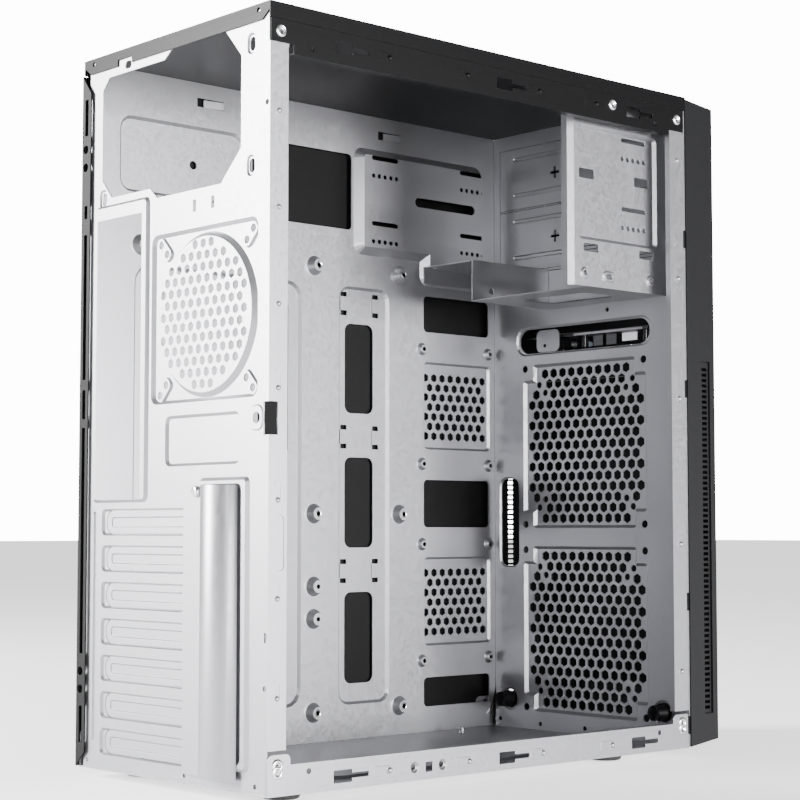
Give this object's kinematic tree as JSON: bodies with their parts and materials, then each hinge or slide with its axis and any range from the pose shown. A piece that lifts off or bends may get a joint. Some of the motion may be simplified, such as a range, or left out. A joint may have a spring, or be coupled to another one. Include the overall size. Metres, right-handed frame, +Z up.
{
  "type": "desktop computer tower",
  "caption": "Empty desktop computer tower: steel chassis with pressed tray, fan grilles, slot blanks and drive cage, a moulded front bezel and one open side.",
  "frame": {"origin": "centre of the bounding box, on the floor that the feet stand on", "axes": "+Z up, -Y towards the front bezel, -X towards the open left side"},
  "size_m": [0.1755, 0.3749, 0.4105],
  "materials": {
    "galvanised_steel": "satin",
    "dark_paint": "satin",
    "moulded_plastic": "matte",
    "button_plastic": "gloss",
    "lamp_lens": "gloss",
    "circuit_board": "satin",
    "screw_steel": "polished",
    "foot_rubber": "matte"
  },
  "bodies": {
    "chassis": {"rear_panel": "galvanised_steel", "slot_blank_1": "galvanised_steel", "slot_blank_2": "galvanised_steel", "slot_blank_3": "galvanised_steel", "slot_blank_4": "galvanised_steel", "slot_blank_5": "galvanised_steel", "slot_blank_6": "galvanised_steel", "slot_blank_7": "galvanised_steel", "motherboard_tray": "galvanised_steel", "bottom_panel": "galvanised_steel", "front_panel": "galvanised_steel", "large_bay_plate_upper": "galvanised_steel", "large_bay_plate_lower": "galvanised_steel", "small_bay_plate": "galvanised_steel", "drive_cage_side": "galvanised_steel", "drive_shelf": "galvanised_steel", "top_cover": "dark_paint", "foot_rear_left": "foot_rubber", "foot_rear_right": "foot_rubber", "foot_front_left": "foot_rubber", "foot_front_right": "foot_rubber", "foot_screws": "screw_steel", "frame_rivets": "screw_steel"},
    "shield": {"slot_shield": "galvanised_steel"},
    "shield_screw": {"shield_screw": "screw_steel"},
    "right_side_panel": {"right_side_panel": "dark_paint"},
    "bezel": {"front_bezel": "moulded_plastic", "front_fascia": "moulded_plastic", "side_vent_left": "moulded_plastic", "side_vent_right": "moulded_plastic", "port_strip": "moulded_plastic", "power_lamp": "lamp_lens", "drive_lamp": "lamp_lens", "port_board": "circuit_board", "usb_port_1": "screw_steel", "usb_port_2": "screw_steel", "headphone_jack": "button_plastic", "microphone_jack": "button_plastic", "board_bracket": "galvanised_steel", "power_spring": "screw_steel", "reset_spring": "screw_steel"},
    "upper_bay_cover": {"large_bay_cover_upper": "moulded_plastic"},
    "lower_bay_cover": {"large_bay_cover_lower": "moulded_plastic"},
    "small_bay_cover": {"small_bay_cover": "moulded_plastic"},
    "power_button": {"power_button": "button_plastic"},
    "reset_button": {"reset_button": "button_plastic"}
  },
  "joints": [
    {"name": "bezel_pull_off", "type": "slide", "parent": "chassis", "child": "bezel", "axis": [0, -1, 0], "range_m": [0, 0.06]},
    {"name": "upper_bay_cover_pull_out", "type": "slide", "parent": "bezel", "child": "upper_bay_cover", "axis": [0, -1, 0], "range_m": [0, 0.04]},
    {"name": "lower_bay_cover_pull_out", "type": "slide", "parent": "bezel", "child": "lower_bay_cover", "axis": [0, -1, 0], "range_m": [0, 0.04]},
    {"name": "small_bay_cover_pull_out", "type": "slide", "parent": "bezel", "child": "small_bay_cover", "axis": [0, -1, 0], "range_m": [0, 0.04]},
    {"name": "power_button_press", "type": "slide", "parent": "bezel", "child": "power_button", "axis": [0, 1, 0], "range_m": [0, 0.0016], "stiffness_N_per_m": 900, "springref_m": -0.001, "deforming": ["power_spring"]},
    {"name": "reset_button_press", "type": "slide", "parent": "bezel", "child": "reset_button", "axis": [0, 1, 0], "range_m": [0, 0.0016], "stiffness_N_per_m": 600, "springref_m": -0.001, "deforming": ["reset_spring"]},
    {"name": "side_panel_slide", "type": "slide", "parent": "chassis", "child": "right_side_panel", "axis": [0, 1, 0], "range_m": [0, 0.011]},
    {"name": "shield_lift_off", "type": "slide", "parent": "chassis", "child": "shield", "axis": [0, 1, 0], "range_m": [0, 0.04]},
    {"name": "shield_screw_turn", "type": "hinge", "parent": "shield", "child": "shield_screw", "pos_m": [-0.029, 0.17645, 0.159], "axis": [0, 1, 0], "continuous": true}
  ]
}
